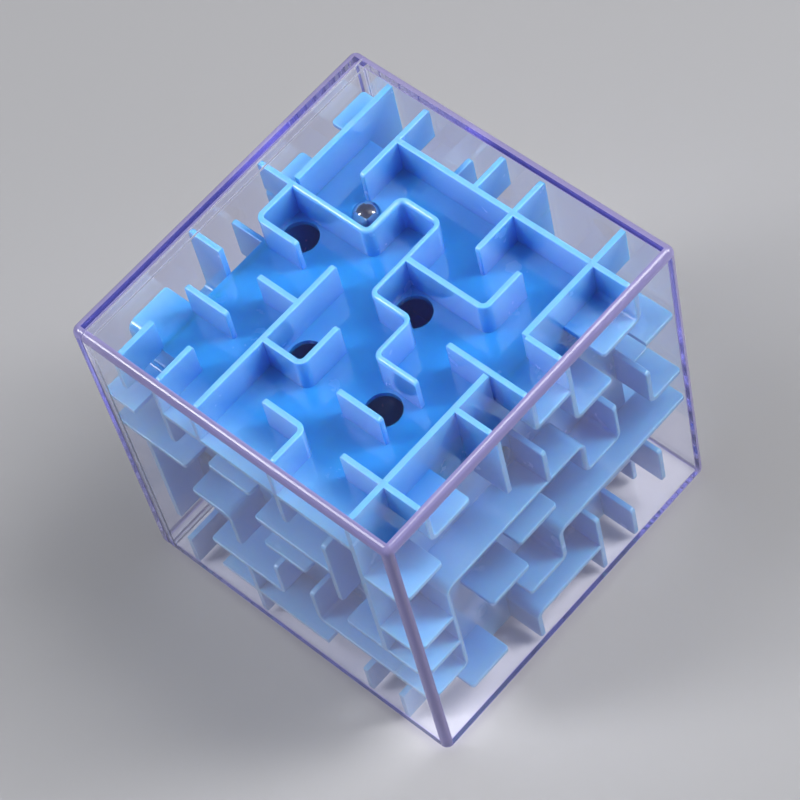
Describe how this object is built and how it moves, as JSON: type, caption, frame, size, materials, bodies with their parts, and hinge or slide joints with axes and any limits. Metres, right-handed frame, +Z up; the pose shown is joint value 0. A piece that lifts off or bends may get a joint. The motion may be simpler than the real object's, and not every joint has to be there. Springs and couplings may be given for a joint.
{
  "type": "tilt maze game",
  "caption": "Clear cube case around a six-sided blue plastic maze with a loose steel ball that rolls through its channels as the cube is tilted.",
  "frame": {"origin": "centre of the case's underside", "axes": "+Z up through the maze side that carries the ball, +Y towards the lid"},
  "size_m": [0.08, 0.08, 0.08],
  "materials": {
    "clear_case": "clear, polished, faintly blue-violet at the edges",
    "maze_plastic": "smooth blue, satin gloss",
    "ball_steel": "polished bearing steel"
  },
  "bodies": {
    "case": {"case_body": "clear_case", "maze_panel_top": "maze_plastic", "maze_panel_bottom": "maze_plastic", "maze_panel_front": "maze_plastic", "maze_panel_back": "maze_plastic", "maze_panel_left": "maze_plastic", "maze_panel_right": "maze_plastic"},
    "lid": {"case_lid": "clear_case"},
    "ball": {"steel_ball": "ball_steel"}
  },
  "joints": [
    {"name": "lid_pull", "type": "slide", "parent": "case", "child": "lid", "axis": [0, 1, 0], "range_m": [0, 0.03]},
    {"name": "ball_roll", "type": "slide", "parent": "case", "child": "ball", "axis": [1, 0, 0], "range_m": [0, 0.0107]}
  ]
}
